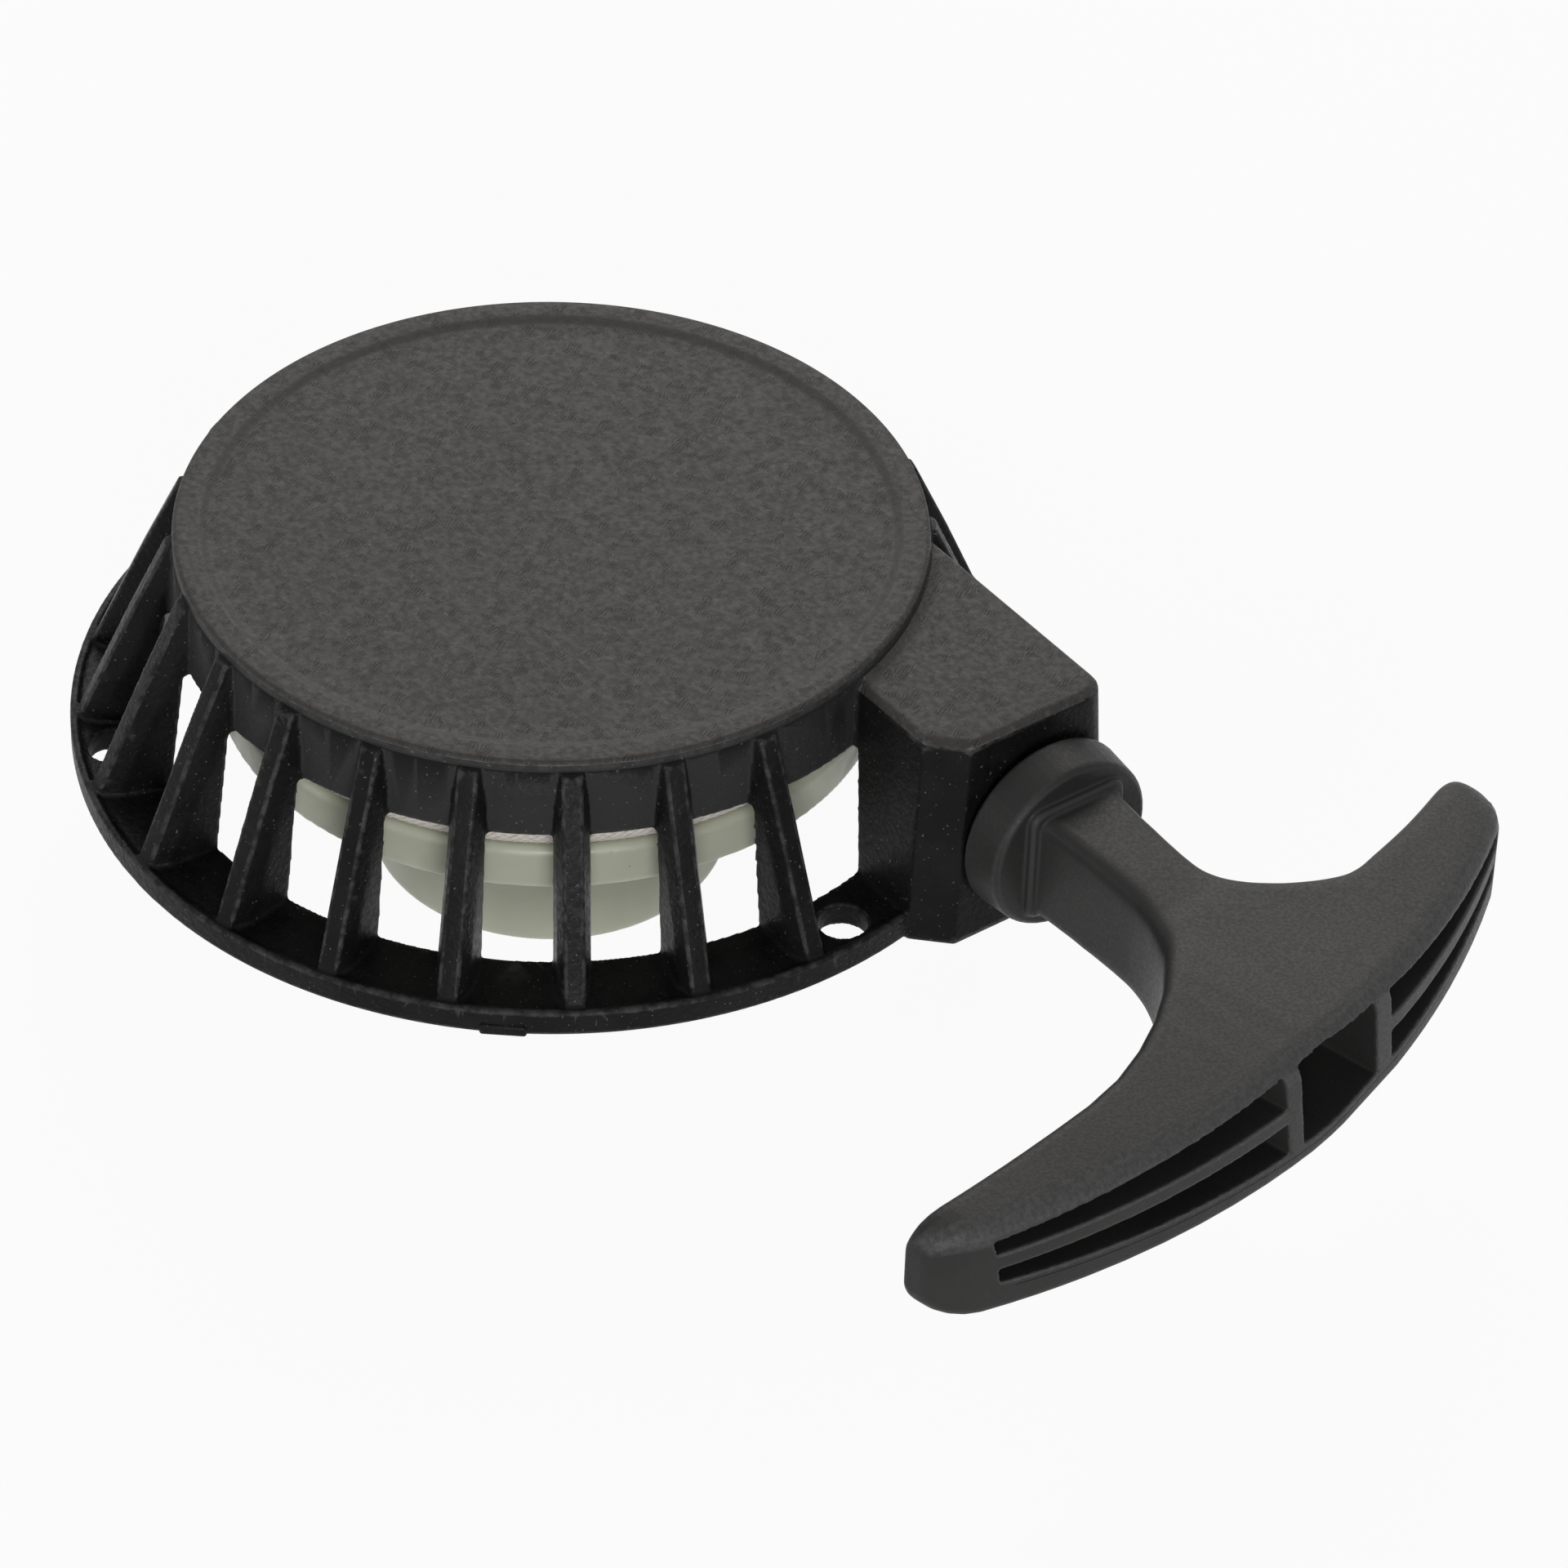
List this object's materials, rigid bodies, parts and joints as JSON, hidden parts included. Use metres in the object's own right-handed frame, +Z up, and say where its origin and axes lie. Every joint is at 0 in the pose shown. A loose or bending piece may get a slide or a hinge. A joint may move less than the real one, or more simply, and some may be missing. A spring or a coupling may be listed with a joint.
{
  "type": "recoil starter",
  "caption": "Pull starter for a small engine: finned round cover over a rope reel with a ratchet cup, and an angled T-grip on a rope that leaves through a side block.",
  "frame": {"origin": "middle of the whole starter's outline, at the level of the ratchet cup's end, which is its lowest point", "axes": "+X is the way the rope is pulled, +Z points up along the reel axis out of the cover's closed top"},
  "size_m": [0.1925, 0.1377, 0.0511],
  "materials": {
    "cover_nylon": "fine moulded texture, black",
    "grip_nylon": "fine moulded texture, charcoal",
    "reel_acetal": "natural translucent, slightly green",
    "rope_braid": "braided, off-white",
    "spring_steel": "blued strip",
    "zinc_steel": "zinc plated"
  },
  "bodies": {
    "cover": {"starter_cover": "cover_nylon", "rope_eyelet": "zinc_steel", "recoil_spring": "spring_steel", "rope_lead": "rope_braid", "retaining_washer": "zinc_steel", "retaining_screw": "zinc_steel"},
    "reel": {"rope_reel": "reel_acetal", "rope_winding": "rope_braid", "reel_knot": "rope_braid"},
    "handle": {"pull_handle": "grip_nylon", "rope_tail": "rope_braid"}
  },
  "joints": [
    {"name": "handle_pull", "type": "slide", "parent": "cover", "child": "handle", "axis": [1, 0, 0], "range_m": [0, 0.7]},
    {"name": "reel_spin", "type": "hinge", "parent": "cover", "child": "reel", "pos_m": [-0.03377, -0.00635, 0.0335], "axis": [0, 0, 1], "range_deg": [-1110, 0], "stiffness_Nm_per_rad": 0.006, "springref_deg": 343.77, "deforming": ["recoil_spring", "rope_winding"]}
  ],
  "couplings": [
    {"joint": "reel_spin", "follows": "handle_pull", "rad_per_m": -27.5}
  ]
}
